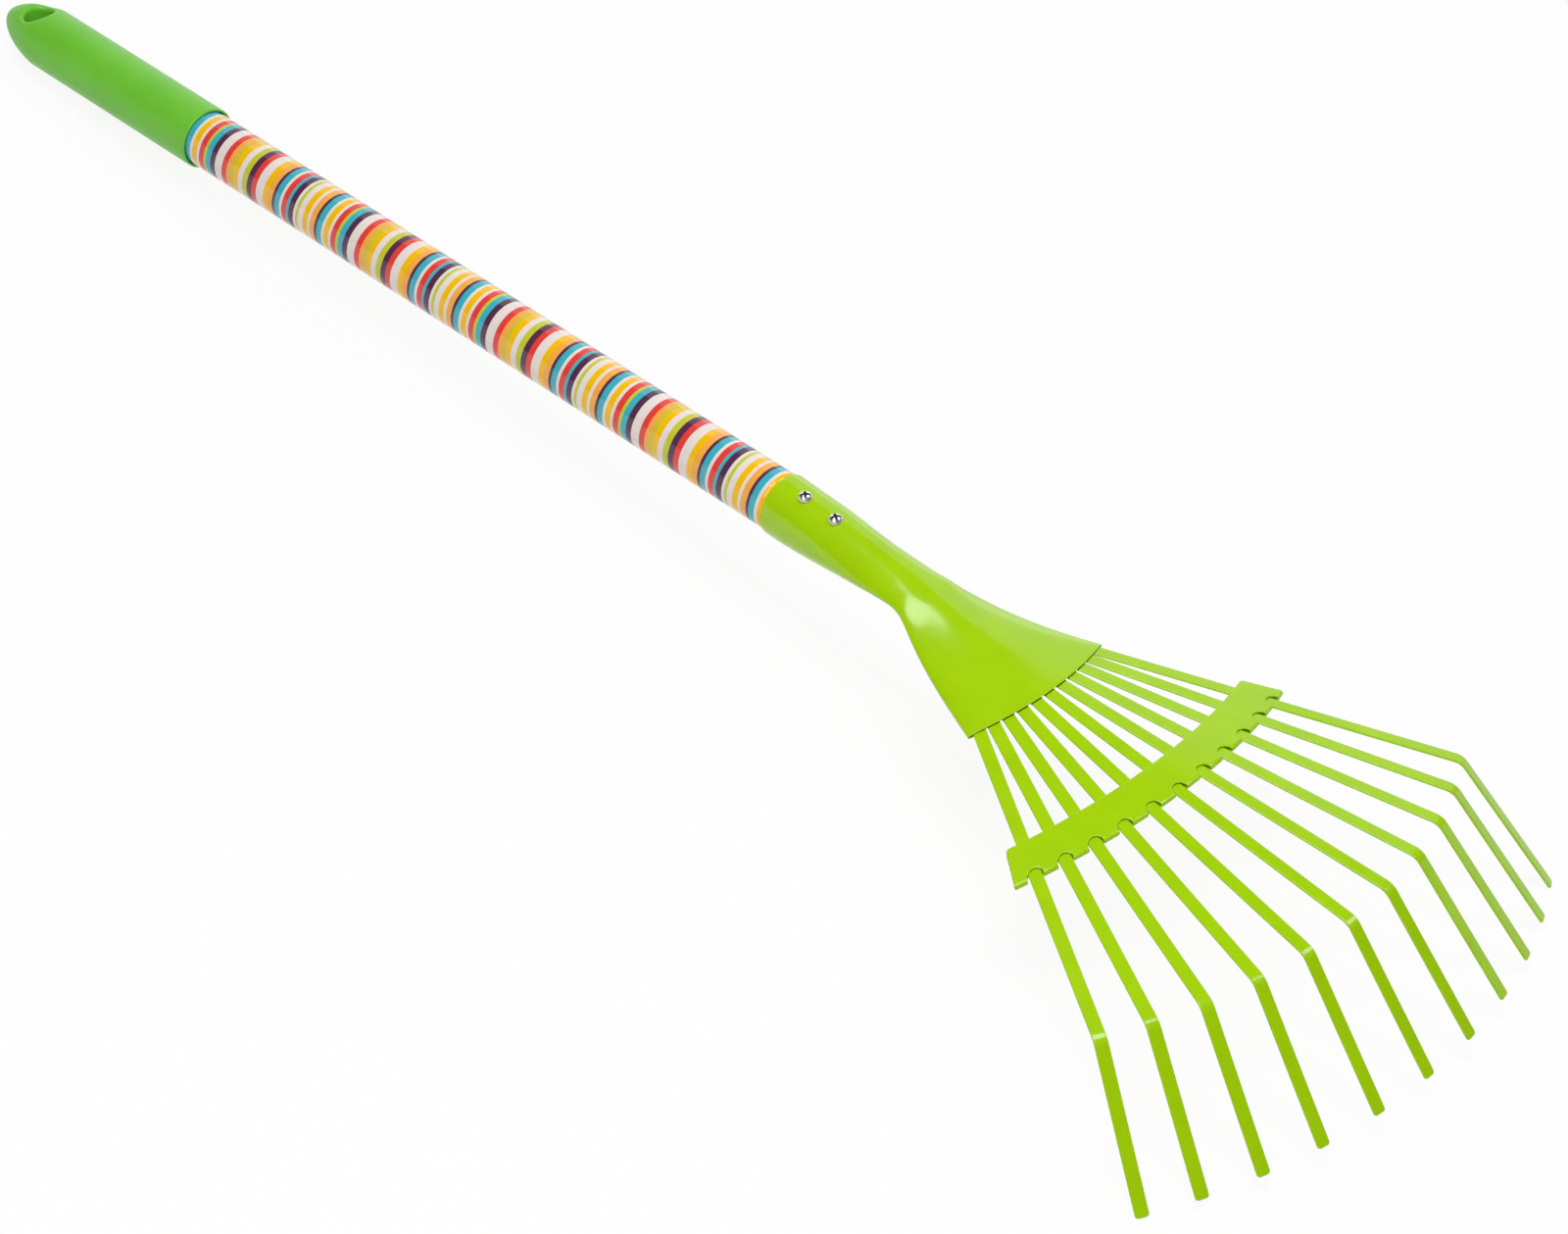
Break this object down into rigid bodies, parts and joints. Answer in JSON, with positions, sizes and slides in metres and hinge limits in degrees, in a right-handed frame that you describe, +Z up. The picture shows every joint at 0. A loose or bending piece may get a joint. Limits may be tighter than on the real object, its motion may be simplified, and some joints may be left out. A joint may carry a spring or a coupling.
{
  "type": "children's leaf rake",
  "caption": "Child's leaf rake: a striped round handle with a moulded hanging grip, a pressed metal head socket, flat spring tines bent down at the ends and a folded spreader bar.",
  "frame": {"origin": "middle of the bounding box at ground level", "axes": "+X along the rake from the grip towards the tines, +Y to the left, +Z up, tines down"},
  "size_m": [0.7238, 0.2184, 0.063],
  "materials": {
    "grip_plastic": "satin moulded plastic",
    "handle_wood": "turned hardwood",
    "printed_film": "glossy printed film with coloured stripes round the handle",
    "lime_paint": "glossy powder coat on steel",
    "screw_steel": "bright plated steel"
  },
  "bodies": {
    "root": {"grip": "grip_plastic", "handle_rod": "handle_wood", "printed_sleeve": "printed_film", "head_socket": "lime_paint", "socket_screws": "screw_steel", "spreader_bar": "lime_paint", "tine_01": "lime_paint", "tine_02": "lime_paint", "tine_03": "lime_paint", "tine_04": "lime_paint", "tine_05": "lime_paint", "tine_06": "lime_paint", "tine_07": "lime_paint", "tine_08": "lime_paint", "tine_09": "lime_paint", "tine_10": "lime_paint", "tine_11": "lime_paint"}
  },
  "joints": []
}
